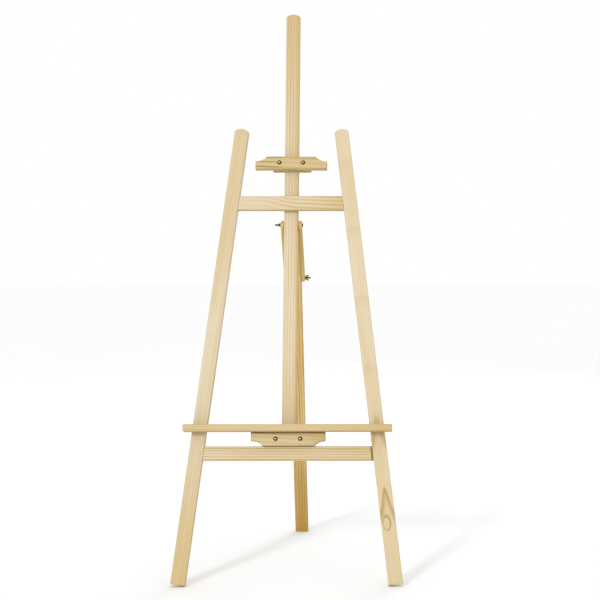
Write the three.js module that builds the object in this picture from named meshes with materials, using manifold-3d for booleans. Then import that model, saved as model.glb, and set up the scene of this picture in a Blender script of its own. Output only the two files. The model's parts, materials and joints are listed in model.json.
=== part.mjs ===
// Tripod field easel in pine: two splayed legs and a mast in one leaning plane, a clamped canvas holder,
// a clamped tray, and a hinged rear leg that hangs from the mast on a two-link fork.
//
// Units are millimetres. In the part's frame +X is the user's right, +Y points away from the user and +Z is
// up. The flat frame (legs, crossbars, mast, holder and tray) is modelled upright and then leaned back as one
// group, so inside that group z runs along the mast and y is the depth behind the legs' front faces.
import * as THREE from "three";
import { mergeVertices } from "three/addons/utils/BufferGeometryUtils.js";
import Module from "manifold-3d";

const wasm = await Module();
wasm.setup();

const { degToRad } = THREE.MathUtils;

// Angles
const LEAN = degToRad(12.5); // the flat frame leans back by this much
const LINK_ANGLE = degToRad(39.4); // fork links, from the vertical
const REAR_LEG_ANGLE = degToRad(19); // rear leg, from the vertical

// Timber stock
const STOCK_WIDTH = 38;
const STOCK_THICKNESS = 20;
const EASE = 2; // rounding of the long edges
const FIT = 0.3; // gap left between pieces that touch
const CURVE_STEPS = 6; // half the steps in a crown or a cove
const ROUND_SIDES = 16; // sides of a bolt, bore or screw
const WASHER_SIDES = 20;

// Legs: centre lines at the foot and at the rounded top
const FOOT_HALF_SPREAD = 280;
const TOP_HALF_SPREAD = 134;
const LEG_RISE = 1209;
const LEG_TOP_CROWN = 8;

// Crossbars
const CROSSBAR_THICKNESS = 18;
const CROSSBAR_RECESS = 1; // set back from the legs' front faces
const UPPER_CROSSBAR_HEIGHT = 1003.5;
const LOWER_CROSSBAR_HEIGHT = 335;
const TENON = { length: 14, height: 26, thickness: 9 };
const TENON_FRONT = CROSSBAR_RECESS + (CROSSBAR_THICKNESS - TENON.thickness) / 2;

// Mast
const MAST_BOTTOM = 321;
const MAST_TOP = 1541;
const MAST_TOP_CROWN = 7;
const MAST_FRONT = CROSSBAR_RECESS + CROSSBAR_THICKNESS + FIT;
const MAST_BACK = MAST_FRONT + STOCK_THICKNESS;

// Canvas holder, with its coved edge on top
const HOLDER = { halfLength: 96, halfShort: 65, height: 34, cove: 13.5, depth: 24, centre: 1113.5 };

// Tray: a straight rail screwed to a coved bracket that rests on the lower crossbar
const RAIL = { length: 542, depth: 36, thickness: 19, front: -36.6, corner: 3 };
const BRACKET = { halfLength: 96.5, halfShort: 67, height: 35.6, cove: 13, depth: 33.5 };
const BRACKET_BOTTOM = LOWER_CROSSBAR_HEIGHT + STOCK_WIDTH / 2 + FIT;
const BRACKET_BOLT_HEIGHT = BRACKET_BOTTOM + 18;
const RAIL_BOTTOM = BRACKET_BOTTOM + BRACKET.height + FIT;
const RAIL_SCREW_X = 75;
const RAIL_SCREW_Y = -7.6;

// Clamp plates behind the mast, on two bolts that pass beside it
const CLAMP_PLATE = { length: 104, height: 28, thickness: 14 };
const CLAMP_BOLT_X = 32;
const CLAMP_GAP = 0.4; // running gap between the mast and the pieces that slide on it

// Rear fork and leg
const LINK = { pitch: 191, width: 22, thickness: 9 };
const LINK_SIDE_GAP = 0.5;
const LINK_INNER = STOCK_WIDTH / 2 + LINK_SIDE_GAP;
const LINK_OUTER = LINK_INNER + LINK.thickness;
const HINGE_HEIGHT = 949;
const REAR_LEG_HEADROOM = 140; // the rear leg reaches this far above the knee bolt, up between the links

// Hardware: M5 domed bolts with wing nuts, and 4 mm wood screws
const BOLT = { radius: 2.5, headRadius: 5.6, headHeight: 2.9, neck: 5, neckDepth: 2.6, chamfer: 0.8 };
const CLAMP_BOLT_TAIL = 11; // how far a bolt stands out past the wood
const FORK_BOLT_TAIL = 15.5;
const BORE_RADIUS = BOLT.radius + FIT;
const WASHER = { radius: 6, thickness: 1 };
const WING_NUT = { baseRadius: 4.7, topRadius: 3.8, height: 5.2, span: 20.5, rise: 9.5, wing: 1.9 };
const SCREW = { radius: 1.9, headRadius: 4, headHeight: 2.8, tip: 4, rim: 0.2 };
const SCREW_CROSS = { length: 4.4, width: 1, depth: 1.2 };
const SCREW_SINK = 0.4; // the head lies this far under the surface

const PINE = new THREE.MeshStandardMaterial({ color: 0xe3cf9f, roughness: 0.62, metalness: 0 });
const AMBER_PINE = new THREE.MeshStandardMaterial({ color: 0xcda35e, roughness: 0.6, metalness: 0 });
const BRASS = new THREE.MeshStandardMaterial({ color: 0x8a6d36, roughness: 0.38, metalness: 0.9 });
const STEEL = new THREE.MeshStandardMaterial({ color: 0xa9a49a, roughness: 0.4, metalness: 0.9 });

// Booleans -------------------------------------------------------------------------------------------------

function toSolid(geometry) {
  const bare = geometry.clone();
  bare.deleteAttribute("normal");
  bare.deleteAttribute("uv");
  const merged = mergeVertices(bare, 1e-4);
  return new wasm.Manifold(
    new wasm.Mesh({
      numProp: 3,
      vertProperties: new Float32Array(merged.attributes.position.array),
      triVerts: new Uint32Array(merged.index.array),
    }),
  );
}

function toGeometry(solid) {
  const mesh = solid.getMesh();
  const geometry = new THREE.BufferGeometry();
  geometry.setAttribute("position", new THREE.BufferAttribute(new Float32Array(mesh.vertProperties), 3));
  geometry.setIndex(new THREE.BufferAttribute(new Uint32Array(mesh.triVerts), 1));
  geometry.computeVertexNormals();
  return geometry;
}

function cut(geometry, tools) {
  return toGeometry(tools.reduce((solid, tool) => solid.subtract(toSolid(tool)), toSolid(geometry)));
}

function join(geometries) {
  return toGeometry(geometries.map(toSolid).reduce((solid, other) => solid.add(other)));
}

// Basic shapes ---------------------------------------------------------------------------------------------

function polygon(points) {
  return new THREE.Shape(points.map(([x, y]) => new THREE.Vector2(x, y)));
}

// An upright outline in x and z, given depth along +Y from front, with eased edges all round.
function plank(shape, front, depth, ease = EASE, curveSegments = 3) {
  const geometry = new THREE.ExtrudeGeometry(shape, {
    depth: depth - 2 * ease,
    bevelThickness: ease,
    bevelSize: ease,
    bevelOffset: -ease,
    bevelSegments: 2,
    bevelEnabled: ease > 0,
    curveSegments,
  });
  return geometry.rotateX(Math.PI / 2).translate(0, front + depth - ease, 0);
}

// An outline in y and z, given width along +X from left.
function sidePiece(shape, left, width, ease = EASE) {
  const turn = new THREE.Matrix4().makeBasis(
    new THREE.Vector3(0, 1, 0),
    new THREE.Vector3(0, 0, 1),
    new THREE.Vector3(1, 0, 0),
  );
  const geometry = new THREE.ExtrudeGeometry(shape, {
    depth: width - 2 * ease,
    bevelThickness: ease,
    bevelSize: ease,
    bevelOffset: -ease,
    bevelSegments: 2,
    curveSegments: 8,
  });
  return geometry.applyMatrix4(turn).translate(left + ease, 0, 0);
}

// A straight bar outline with a square bottom and a crowned top, from z = bottom to the crown at z = top.
function crownedBar(width, bottom, top, crown) {
  const half = width / 2;
  const radius = (half * half + crown * crown) / (2 * crown);
  const sweep = Math.asin(half / radius);
  const shape = new THREE.Shape();
  shape.moveTo(-half, bottom);
  shape.lineTo(half, bottom);
  shape.lineTo(half, top - crown);
  shape.absarc(0, top - radius, radius, Math.PI / 2 - sweep, Math.PI / 2 + sweep, false);
  return shape;
}

function roundedRectangle(width, height, corner) {
  const x = width / 2;
  const y = height / 2;
  const shape = new THREE.Shape();
  shape.absarc(x - corner, y - corner, corner, 0, Math.PI / 2, false);
  shape.absarc(corner - x, y - corner, corner, Math.PI / 2, Math.PI, false);
  shape.absarc(corner - x, corner - y, corner, Math.PI, 1.5 * Math.PI, false);
  shape.absarc(x - corner, corner - y, corner, 1.5 * Math.PI, 2 * Math.PI, false);
  return shape;
}

// The cheek block of a clamp: a long straight edge, short square ends, and a hollow cove from each end to
// the short edge at z = 0. side is +1 when the long edge lies above the short one, and -1 when below.
function covedBlock({ halfLength, halfShort, height, cove }, side) {
  const run = halfLength - halfShort;
  const radius = (run * run + cove * cove) / (2 * cove);
  const sweep = Math.asin(run / radius);
  const shape = new THREE.Shape();
  shape.moveTo(-halfShort, 0);
  shape.lineTo(halfShort, 0);
  shape.absarc(halfLength, cove - radius, radius, Math.PI / 2 + sweep, Math.PI / 2, true);
  shape.lineTo(halfLength, height);
  shape.lineTo(-halfLength, height);
  shape.absarc(-halfLength, cove - radius, radius, Math.PI / 2, Math.PI / 2 - sweep, true);
  if (side > 0) return shape;
  return polygon(shape.getPoints(CURVE_STEPS).map(({ x, y }) => [-x, -y]));
}

function rod(radius, length, axis, at, sides = ROUND_SIDES) {
  const geometry = new THREE.CylinderGeometry(radius, radius, length, sides);
  const up = new THREE.Vector3(0, 1, 0);
  geometry.applyQuaternion(new THREE.Quaternion().setFromUnitVectors(up, axis));
  return geometry.translate(...at);
}

// A closed profile of radius and height, turned about Z.
function revolve(profile, sides) {
  return new THREE.LatheGeometry(profile, sides).rotateX(Math.PI / 2);
}

const ALONG_X = new THREE.Vector3(1, 0, 0);
const ALONG_Y = new THREE.Vector3(0, 1, 0);
const ALONG_Z = new THREE.Vector3(0, 0, 1);

// The bore of a clamp bolt through a cheek or plate, and the square socket for the neck under its head.
function clampBores(height, front, depth, socket) {
  const tools = [];
  for (const x of [-CLAMP_BOLT_X, CLAMP_BOLT_X]) {
    tools.push(rod(BORE_RADIUS, depth + 2, ALONG_Y, [x, front + depth / 2, height]));
    if (socket) tools.push(neckSocket().translate(x, front + BOLT.neckDepth / 2, height));
  }
  return tools;
}

function neckSocket() {
  const side = BOLT.neck + 2 * FIT;
  return new THREE.BoxGeometry(side, BOLT.neckDepth + 2 * FIT + 1, side);
}

// A wood screw along -Z with its flat head's top at z = 0; grow widens it into the hole that it needs.
function screwProfile(length, grow = 0) {
  const { radius, headRadius, headHeight, tip, rim } = SCREW;
  const top = grow ? SCREW_SINK + 1 : rim;
  return [
    new THREE.Vector2(0, -length - grow),
    new THREE.Vector2(radius + grow, tip - length),
    new THREE.Vector2(radius + grow, -headHeight - grow),
    new THREE.Vector2(headRadius + grow, -grow),
    new THREE.Vector2(headRadius + grow, top),
    new THREE.Vector2(0, top),
  ];
}

function screwHole(length) {
  return revolve(screwProfile(length, FIT), ROUND_SIDES);
}

// Hardware -------------------------------------------------------------------------------------------------

function woodScrew(length) {
  const { length: reach, width, depth } = SCREW_CROSS;
  const slot = new THREE.BoxGeometry(reach, width, 2 * depth);
  return cut(revolve(screwProfile(length), ROUND_SIDES), [slot, slot.clone().rotateZ(Math.PI / 2)]);
}

// A domed bolt along +Z: its head sits below z = 0, a square neck lies just inside, and the shank runs up
// past the grip.
function domedBolt(grip, tail) {
  const length = grip + tail;
  const { radius, headRadius, headHeight, neck, neckDepth, chamfer } = BOLT;
  const domeSteps = 4;
  const profile = [new THREE.Vector2(0, -FIT - headHeight)];
  for (let i = 1; i <= domeSteps; i += 1) {
    const turn = (i / domeSteps) * (Math.PI / 2);
    profile.push(new THREE.Vector2(headRadius * Math.sin(turn), -FIT - headHeight * Math.cos(turn)));
  }
  profile.push(new THREE.Vector2(radius, -FIT));
  profile.push(new THREE.Vector2(radius, length - chamfer));
  profile.push(new THREE.Vector2(radius - chamfer, length));
  profile.push(new THREE.Vector2(0, length));
  const body = revolve(profile, ROUND_SIDES);
  const neckBlock = new THREE.BoxGeometry(neck, neck, neckDepth).translate(0, 0, neckDepth / 2 - 1.5 * FIT);
  return join([body, neckBlock]);
}

function flatWasher() {
  const inner = BORE_RADIUS;
  const { radius, thickness } = WASHER;
  const profile = [
    new THREE.Vector2(inner, 0),
    new THREE.Vector2(radius, 0),
    new THREE.Vector2(radius, thickness),
    new THREE.Vector2(inner, thickness),
    new THREE.Vector2(inner, 0),
  ];
  return revolve(profile, WASHER_SIDES);
}

// One wing as a rounded blade in x and z that leans outwards from a root inside the hub's wall.
function wingBlade() {
  const { span, rise, wing, height } = WING_NUT;
  const reach = span / 2;
  const root = BORE_RADIUS + 0.6;
  const soft = 0.4;
  const shape = new THREE.Shape();
  shape.moveTo(root, 0.8);
  shape.quadraticCurveTo(reach - 3, 1.6, reach, rise - 4.4);
  shape.bezierCurveTo(reach + 0.4, rise - 0.8, reach - 2.6, rise + 0.6, reach - 4.6, rise - 1.6);
  shape.quadraticCurveTo(reach - 6.2, height - 0.4, root, height - 0.6);
  const geometry = new THREE.ExtrudeGeometry(shape, {
    depth: wing - 2 * soft,
    bevelThickness: soft,
    bevelSize: soft,
    bevelOffset: -soft,
    bevelSegments: 1,
    curveSegments: 5,
  });
  return geometry.rotateX(Math.PI / 2).translate(0, wing / 2 - soft, 0);
}

function wingNut() {
  const { baseRadius, topRadius, height } = WING_NUT;
  const soft = 0.4;
  const profile = [
    new THREE.Vector2(0, 0),
    new THREE.Vector2(baseRadius - soft, 0),
    new THREE.Vector2(baseRadius, soft),
    new THREE.Vector2(topRadius, height - soft),
    new THREE.Vector2(topRadius - soft, height),
    new THREE.Vector2(0, height),
  ];
  const hub = revolve(profile, ROUND_SIDES);
  const blades = [wingBlade(), wingBlade().rotateZ(Math.PI)];
  const bore = rod(BORE_RADIUS, 3 * height, ALONG_Z, [0, 0, height / 2]);
  return cut(join([hub, ...blades]), [bore]);
}

// Scene graph ----------------------------------------------------------------------------------------------

function add(parent, name, geometry, material) {
  const mesh = new THREE.Mesh(geometry, material);
  mesh.name = name;
  parent.add(mesh);
  return mesh;
}

// A bolt, its washer and its wing nut along the local +Z of a group placed at the seat of the bolt's head.
function addWingBolt(parent, name, { at, turn, grip, tail, wingTurn = 0 }) {
  const seat = new THREE.Group();
  seat.position.set(...at);
  seat.rotation.set(...turn);
  parent.add(seat);
  add(seat, name + "_bolt", domedBolt(grip, tail), BRASS);
  add(seat, name + "_washer", flatWasher(), STEEL).position.z = grip + FIT;
  const nut = add(seat, name + "_wing_nut", wingNut(), BRASS);
  nut.position.z = grip + WASHER.thickness + 2 * FIT;
  nut.rotation.z = wingTurn;
}

const FACE_BACK = [-Math.PI / 2, 0, 0];
const FACE_LEFT = [0, -Math.PI / 2, 0];
const FACE_RIGHT = [0, Math.PI / 2, 0];

const easel = new THREE.Group();
const stand = new THREE.Group();
const flatFrame = new THREE.Group();
flatFrame.rotation.x = -LEAN;
stand.add(flatFrame);
easel.add(stand);

// Legs and crossbars ---------------------------------------------------------------------------------------

const splay = Math.atan2(FOOT_HALF_SPREAD - TOP_HALF_SPREAD, LEG_RISE);

// Distance from the middle to a leg's inner face at a height, less a gap.
function innerFace(height, gap = 0) {
  return FOOT_HALF_SPREAD - height * Math.tan(splay) - STOCK_WIDTH / 2 / Math.cos(splay) - gap;
}

// A level bar between the legs whose ends follow their inner faces.
function splayedBar(centre, height, gap) {
  const low = centre - height / 2;
  const high = centre + height / 2;
  return polygon([
    [-innerFace(low, gap), low],
    [innerFace(low, gap), low],
    [innerFace(high, gap), high],
    [-innerFace(high, gap), high],
  ]);
}

// The eased bar is trimmed square at its shoulders, where it meets the legs.
function crossbar(centre) {
  const overshoot = 2 * EASE;
  const long = plank(splayedBar(centre, STOCK_WIDTH, -overshoot), CROSSBAR_RECESS, CROSSBAR_THICKNESS);
  const margin = 1;
  const low = centre - STOCK_WIDTH / 2 - margin;
  const high = centre + STOCK_WIDTH / 2 + margin;
  const trims = [-1, 1].map((side) => {
    const corners = [
      [side * innerFace(low, FIT), low],
      [side * innerFace(low, -2 * overshoot), low],
      [side * innerFace(high, -2 * overshoot), high],
      [side * innerFace(high, FIT), high],
    ];
    const shape = polygon(side > 0 ? corners : corners.reverse());
    return plank(shape, CROSSBAR_RECESS - margin, CROSSBAR_THICKNESS + 2 * margin, 0);
  });
  const tenonShape = splayedBar(centre, TENON.height, -TENON.length);
  const tenons = plank(tenonShape, TENON_FRONT, TENON.thickness, 0);
  return join([cut(long, trims), tenons]);
}

function mortises() {
  return [UPPER_CROSSBAR_HEIGHT, LOWER_CROSSBAR_HEIGHT].map((centre) => {
    const shape = splayedBar(centre, TENON.height + 2 * FIT, -TENON.length - 2 * FIT);
    return plank(shape, TENON_FRONT - FIT, TENON.thickness + 2 * FIT, 0);
  });
}

function addLeg(name, side) {
  const length = LEG_RISE / Math.cos(splay);
  const placing = new THREE.Object3D();
  placing.position.x = side * FOOT_HALF_SPREAD;
  placing.rotation.y = -side * splay;
  placing.updateMatrix();
  const intoLeg = placing.matrix.clone().invert();
  const slots = mortises().map((slot) => slot.applyMatrix4(intoLeg));
  const outline = crownedBar(STOCK_WIDTH, 0, length, LEG_TOP_CROWN);
  const bar = plank(outline, 0, STOCK_THICKNESS, EASE, CURVE_STEPS);
  const leg = add(flatFrame, name, cut(bar, slots), PINE);
  leg.position.copy(placing.position);
  leg.rotation.copy(placing.rotation);
}

addLeg("left_leg", -1);
addLeg("right_leg", 1);

// Mast, fixed to the crossbars by screws from behind -------------------------------------------------------

const MAST_SCREW_LENGTH = 30;
const MAST_SCREW_OFFSET = 9;
const mastScrews = [];
for (const [level, height] of [["upper", UPPER_CROSSBAR_HEIGHT], ["lower", LOWER_CROSSBAR_HEIGHT]]) {
  for (const [side, sign] of [["left", -1], ["right", 1]]) {
    mastScrews.push({
      name: `mast_${level}_${side}_screw`,
      at: [sign * MAST_SCREW_OFFSET, MAST_BACK - SCREW_SINK, height + sign * MAST_SCREW_OFFSET],
    });
  }
}

function mastScrewHoles() {
  return mastScrews.map(({ at }) => screwHole(MAST_SCREW_LENGTH).rotateX(-Math.PI / 2).translate(...at));
}

add(flatFrame, "upper_crossbar", cut(crossbar(UPPER_CROSSBAR_HEIGHT), mastScrewHoles()), PINE);
add(flatFrame, "lower_crossbar", cut(crossbar(LOWER_CROSSBAR_HEIGHT), mastScrewHoles()), PINE);

const mastMiddle = (MAST_FRONT + MAST_BACK) / 2;
const mastOutline = crownedBar(STOCK_WIDTH, MAST_BOTTOM, MAST_TOP, MAST_TOP_CROWN);
const mastBar = plank(mastOutline, MAST_FRONT, STOCK_THICKNESS, EASE, CURVE_STEPS);
const hingeBore = rod(BORE_RADIUS, 2 * STOCK_WIDTH, ALONG_X, [0, mastMiddle, HINGE_HEIGHT]);
add(flatFrame, "mast", cut(mastBar, [hingeBore, ...mastScrewHoles()]), PINE);

for (const { name, at } of mastScrews) {
  const screw = add(flatFrame, name, woodScrew(MAST_SCREW_LENGTH), STEEL);
  screw.position.set(...at);
  screw.rotation.x = -Math.PI / 2;
}

// Clamped carriages: a cheek block in front of the mast, a plate behind it, and two wing bolts --------------

const CHEEK_BACK = MAST_FRONT - CLAMP_GAP;
const PLATE_FRONT = MAST_BACK + CLAMP_GAP;

function addClamp(prefix, boltHeight, cheekDepth) {
  const shape = roundedRectangle(CLAMP_PLATE.length, CLAMP_PLATE.height, 3);
  const plate = plank(shape, PLATE_FRONT, CLAMP_PLATE.thickness).translate(0, 0, boltHeight);
  const bores = clampBores(boltHeight, PLATE_FRONT, CLAMP_PLATE.thickness, false);
  add(flatFrame, prefix + "_clamp_plate", cut(plate, bores), PINE);
  const grip = PLATE_FRONT + CLAMP_PLATE.thickness - (CHEEK_BACK - cheekDepth);
  for (const [side, x] of [["left", -CLAMP_BOLT_X], ["right", CLAMP_BOLT_X]]) {
    addWingBolt(flatFrame, `${prefix}_${side}`, {
      at: [x, CHEEK_BACK - cheekDepth, boltHeight],
      turn: FACE_BACK,
      grip,
      tail: CLAMP_BOLT_TAIL,
    });
  }
}

const holderFront = CHEEK_BACK - HOLDER.depth;
const holderBlock = plank(covedBlock(HOLDER, -1), holderFront, HOLDER.depth, EASE, CURVE_STEPS)
  .translate(0, 0, HOLDER.centre + HOLDER.height / 2);
const holderBores = clampBores(HOLDER.centre, holderFront, HOLDER.depth, true);
add(flatFrame, "canvas_holder_block", cut(holderBlock, holderBores), PINE);
addClamp("canvas_holder", HOLDER.centre, HOLDER.depth);

const bracketFront = CHEEK_BACK - BRACKET.depth;
const railTop = RAIL_BOTTOM + RAIL.thickness;
const RAIL_SCREW_LENGTH = 36;
const railScrewSeats = [-RAIL_SCREW_X, RAIL_SCREW_X].map((x) => [x, RAIL_SCREW_Y, railTop - SCREW_SINK]);

function railScrewHoles() {
  return railScrewSeats.map((at) => screwHole(RAIL_SCREW_LENGTH).translate(...at));
}

const bracketBlock = plank(covedBlock(BRACKET, 1), bracketFront, BRACKET.depth, EASE, CURVE_STEPS)
  .translate(0, 0, BRACKET_BOTTOM);
const bracketBores = clampBores(BRACKET_BOLT_HEIGHT, bracketFront, BRACKET.depth, true);
add(flatFrame, "tray_bracket", cut(bracketBlock, [...bracketBores, ...railScrewHoles()]), PINE);

const railShape = roundedRectangle(RAIL.length, RAIL.thickness, RAIL.corner);
const railBar = plank(railShape, RAIL.front, RAIL.depth).translate(0, 0, RAIL_BOTTOM + RAIL.thickness / 2);
add(flatFrame, "tray_rail", cut(railBar, railScrewHoles()), PINE);
["left", "right"].forEach((side, i) => {
  const screw = add(flatFrame, `tray_${side}_screw`, woodScrew(RAIL_SCREW_LENGTH), STEEL);
  screw.position.set(...railScrewSeats[i]);
});
addClamp("tray", BRACKET_BOLT_HEIGHT, BRACKET.depth);

// Rear fork and leg ----------------------------------------------------------------------------------------

const fork = new THREE.Group();
fork.position.set(0, mastMiddle, HINGE_HEIGHT);
fork.rotation.x = LINK_ANGLE + LEAN;
flatFrame.add(fork);

function linkOutline() {
  const radius = LINK.width / 2;
  const shape = new THREE.Shape();
  shape.absarc(0, 0, radius, 0, Math.PI, false);
  shape.absarc(0, -LINK.pitch, radius, Math.PI, 2 * Math.PI, false);
  return shape;
}

// necks lists the distances below the hinge at which this link holds a bolt's square neck.
function addLink(name, side, necks) {
  const left = side > 0 ? LINK_INNER : -LINK_OUTER;
  const tools = [0, -LINK.pitch].map((z) => rod(BORE_RADIUS, 4 * LINK.width, ALONG_X, [0, 0, z]));
  const neckX = side * (LINK_OUTER - BOLT.neckDepth / 2);
  for (const z of necks) tools.push(neckSocket().rotateZ(Math.PI / 2).translate(neckX, 0, z));
  add(fork, name, cut(sidePiece(linkOutline(), left, LINK.thickness), tools), PINE);
}

addLink("fork_left_link", -1, [-LINK.pitch]);
addLink("fork_right_link", 1, [0]);
addWingBolt(fork, "fork_hinge", {
  at: [LINK_OUTER, 0, 0],
  turn: FACE_LEFT,
  grip: 2 * LINK_OUTER,
  tail: FORK_BOLT_TAIL,
  wingTurn: degToRad(-46),
});

addWingBolt(fork, "knee", {
  at: [-LINK_OUTER, 0, -LINK.pitch],
  turn: FACE_RIGHT,
  grip: 2 * LINK_OUTER,
  tail: FORK_BOLT_TAIL,
});

const knee = new THREE.Group();
knee.position.z = -LINK.pitch;
knee.rotation.x = REAR_LEG_ANGLE - LINK_ANGLE;
fork.add(knee);

// The rear leg has a round head, and is cut so that its square foot stands on the level of the front feet.
easel.updateMatrixWorld(true);
const floor = new THREE.Box3().setFromObject(flatFrame.getObjectByName("left_leg"), true).min.z;
const kneeHeight = knee.getWorldPosition(new THREE.Vector3()).z;
const halfThickness = STOCK_THICKNESS / 2;
const footDrop = halfThickness * Math.sin(REAR_LEG_ANGLE);
const rearLegLength = (kneeHeight - floor - footDrop) / Math.cos(REAR_LEG_ANGLE);

const rearLegOutline = new THREE.Shape();
rearLegOutline.absarc(0, REAR_LEG_HEADROOM, halfThickness, 0, Math.PI, false);
rearLegOutline.lineTo(-halfThickness, -rearLegLength);
rearLegOutline.lineTo(halfThickness, -rearLegLength);
const kneeBore = rod(BORE_RADIUS, 2 * STOCK_WIDTH, ALONG_X, [0, 0, 0]);
const rearBar = sidePiece(rearLegOutline, -STOCK_WIDTH / 2, STOCK_WIDTH);
add(knee, "rear_leg", cut(rearBar, [kneeBore]), AMBER_PINE);

// The origin is at the middle of the easel's footprint, on the floor.
easel.updateMatrixWorld(true);
const box = new THREE.Box3().setFromObject(stand, true);
const middle = box.getCenter(new THREE.Vector3());
stand.position.set(-middle.x, -middle.y, -box.min.z);

export default easel;
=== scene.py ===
"""Looks of the pine tripod easel: solid-textured timber on the CAD pieces, fine bolts, nuts and screws."""

import json
import math
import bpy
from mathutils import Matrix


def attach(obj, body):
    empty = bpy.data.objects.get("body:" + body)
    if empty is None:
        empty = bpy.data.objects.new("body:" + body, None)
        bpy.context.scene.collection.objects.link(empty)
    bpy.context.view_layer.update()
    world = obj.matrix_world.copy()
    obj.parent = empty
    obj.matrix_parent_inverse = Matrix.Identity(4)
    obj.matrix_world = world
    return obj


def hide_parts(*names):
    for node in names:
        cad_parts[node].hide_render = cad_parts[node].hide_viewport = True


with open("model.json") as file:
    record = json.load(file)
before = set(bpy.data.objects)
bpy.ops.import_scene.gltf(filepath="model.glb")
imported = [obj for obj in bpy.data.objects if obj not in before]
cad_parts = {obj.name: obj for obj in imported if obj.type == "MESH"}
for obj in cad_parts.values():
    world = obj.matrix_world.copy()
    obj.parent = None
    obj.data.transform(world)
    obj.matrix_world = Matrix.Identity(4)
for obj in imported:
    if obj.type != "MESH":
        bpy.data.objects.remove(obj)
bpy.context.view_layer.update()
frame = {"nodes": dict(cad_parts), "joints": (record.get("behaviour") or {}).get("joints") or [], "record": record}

from types import SimpleNamespace

import bmesh
import bpy
from mathutils import Matrix, Vector

MM = 0.001

nodes = frame["nodes"]
joints = {joint["name"]: joint for joint in frame["joints"]}
bodies = frame["record"]["behaviour"]["bodies"]
body_of_node = {node: body for body, members in bodies.items() for node in members}

# The flat frame's own directions: X across it, UP along the mast and BACK out of its rear face.
X = Vector((1, 0, 0))
UP = Vector(joints["tray_slide"]["axis"]).normalized()
FRONT = X.cross(UP)
BACK = -FRONT


# Camera, light and floor ---------------------------------------------------------------------------------


def make_camera():
    data = bpy.data.cameras.new("camera")
    data.sensor_width = 36
    data.lens = 79.9
    data.shift_x = -0.1665
    camera = bpy.data.objects.new("camera", data)
    camera.location = (0.2573, -3.682, 0.938)
    pitch = 0.0595
    yaw = 0.0098
    camera.rotation_euler = (math.pi / 2 - pitch, 0, -yaw)
    bpy.context.scene.collection.objects.link(camera)
    bpy.context.scene.camera = camera


def lamp(name, kind, place, energy, colour=(1, 1, 1), **settings):
    """A lamp at a place, pointing at the middle of the easel."""
    data = bpy.data.lights.new(name, kind)
    data.energy = energy
    data.color = colour
    for key, value in settings.items():
        setattr(data, key, value)
    light = bpy.data.objects.new(name, data)
    light.location = place
    light.rotation_euler = (Vector((0, 0, 0.75)) - Vector(place)).to_track_quat("-Z", "Y").to_euler()
    bpy.context.scene.collection.objects.link(light)


def make_lights():
    lamp("key", "SUN", (-1.5, -3.0, 2.3), 1.2, (0.97, 0.99, 1.06), angle=math.radians(9))
    lamp("back", "AREA", (1.6, 3.0, 2.6), 24, shape="DISK", size=2.2)
    world = bpy.data.worlds.new("studio")
    world.use_nodes = True
    background = world.node_tree.nodes["Background"]
    background.inputs["Color"].default_value = (1, 1, 1, 1)
    background.inputs["Strength"].default_value = 1.0
    bpy.context.scene.world = world


FLOOR_DARK = (0.83, 0.83, 0.825, 1)
FLOOR_PALE = (0.86, 0.86, 0.855, 1)
FLOOR_CLOUD = 420  # millimetres across one cloud of tone
FLOOR_REACH = 16.0  # metres


def make_floor():
    """A round pale floor, so wide that its edge lies at the horizon of every view."""
    sides = 96
    mesh = bpy.data.meshes.new("floor")
    rim = []
    for side in range(sides):
        angle = 2 * math.pi * side / sides
        rim.append((FLOOR_REACH * math.cos(angle), FLOOR_REACH * math.sin(angle), 0.0))
    mesh.from_pydata(rim, [], [list(range(sides))])
    floor = bpy.data.objects.new("floor", mesh)
    bpy.context.scene.collection.objects.link(floor)
    g = Graph("floor_paint")
    place = g.scaled(g.node("ShaderNodeTexCoord").outputs["Object"], (1 / MM, 1 / MM, 1 / MM))
    cloud = g.noise(place, (FLOOR_CLOUD, FLOOR_CLOUD, FLOOR_CLOUD), 1.7, detail=3.0)["Fac"]
    g.feed(g.shader.inputs["Base Color"], g.blend(cloud, FLOOR_DARK, FLOOR_PALE))
    g.shader.inputs["Roughness"].default_value = 0.9
    g.shader.inputs["Specular IOR Level"].default_value = 0.1
    mesh.materials.append(g.material)


# Shader maths --------------------------------------------------------------------------------------------


def srgb(red, green, blue):
    """A display colour, 0 to 255, as the linear colour that shaders use."""

    def linear(value):
        share = value / 255
        return share / 12.92 if share <= 0.04045 else ((share + 0.055) / 1.055) ** 2.4

    return (linear(red), linear(green), linear(blue), 1)


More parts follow.
